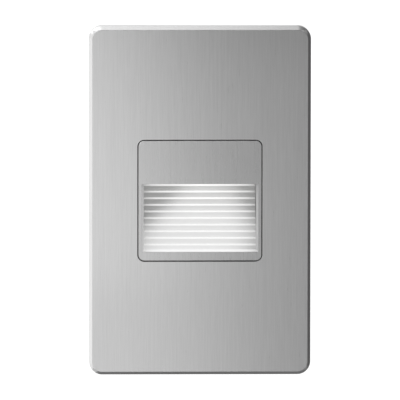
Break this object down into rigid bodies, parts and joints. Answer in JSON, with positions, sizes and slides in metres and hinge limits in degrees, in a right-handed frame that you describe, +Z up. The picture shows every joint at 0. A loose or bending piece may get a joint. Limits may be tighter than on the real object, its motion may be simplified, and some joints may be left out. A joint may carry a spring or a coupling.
{
  "type": "recessed wall light",
  "caption": "Wall light for a single-gang box: brushed rectangular face plate with bevelled edges, and a square louvred lamp body whose hidden lamps light a stepped white reflector.",
  "frame": {"origin": "centre of the face plate's outline, on the surface of the wall", "axes": "+X to the right seen from the room, +Y into the wall, +Z up"},
  "size_m": [0.0762, 0.0382, 0.1204],
  "materials": {
    "brushed_aluminium": "brushed upright, clear anodised",
    "white_reflector": "satin white moulding",
    "frosted_lens": "frosted, lit from behind",
    "black_foam": "closed-cell foam",
    "grey_silicone": "moulded silicone",
    "galvanised_steel": "galvanised sheet",
    "spring_steel": "bright spring steel",
    "zinc_screws": "zinc plated",
    "green_screw": "green dyed zinc",
    "fibre_washer": "vulcanised fibre",
    "black_plastic": "fine moulded grain",
    "black_rubber": "moulded rubber",
    "insulator_white": "insulating sheet",
    "lamp_board_white": "white solder mask on aluminium",
    "lamp_phosphor": "lit phosphor",
    "pad_grey": "heat-conducting pad",
    "board_green": "solder mask on glass fibre",
    "pin_gold": "gold flash",
    "header_black": "moulded",
    "winding_tape": "polyester tape",
    "ferrite": "sintered",
    "capacitor_sleeve": "shrunk sleeve",
    "film_box": "filled case",
    "varistor_blue": "dipped epoxy",
    "fuse_body": "dipped body",
    "chip_black": "moulded epoxy",
    "terminal_grey": "moulded"
  },
  "bodies": {
    "light": {"plate_clips": "spring_steel", "mounting_plate": "galvanised_steel", "mounting_screws": "zinc_screws", "screw_retainers": "fibre_washer", "ground_screw": "green_screw", "lamp_body": "brushed_aluminium", "bezel_seal": "black_foam", "step_reflector": "white_reflector", "lens": "frosted_lens", "lens_seal": "grey_silicone", "led_board": "lamp_board_white", "led_chips": "lamp_phosphor", "thermal_pad": "pad_grey", "divider": "insulator_white", "divider_screws": "zinc_screws", "housing_seal": "grey_silicone", "rear_housing": "black_plastic", "engine_screws": "zinc_screws", "rear_cover": "black_plastic", "cover_screws": "zinc_screws", "wire_grommet": "black_rubber", "driver_board": "board_green", "board_screws": "zinc_screws", "led_pins": "pin_gold", "led_header": "header_black", "transformer_bobbin": "winding_tape", "transformer_core": "ferrite", "bulk_capacitor": "capacitor_sleeve", "film_capacitor": "film_box", "varistor": "varistor_blue", "fuse": "fuse_body", "rectifier": "chip_black", "driver_chip": "chip_black", "wire_terminal": "terminal_grey"},
    "cover": {"face_plate": "brushed_aluminium", "wall_gasket": "black_foam"}
  },
  "joints": [
    {"name": "plate_pull_off", "type": "slide", "parent": "light", "child": "cover", "axis": [0, -1, 0], "range_m": [0, 0.03]}
  ]
}
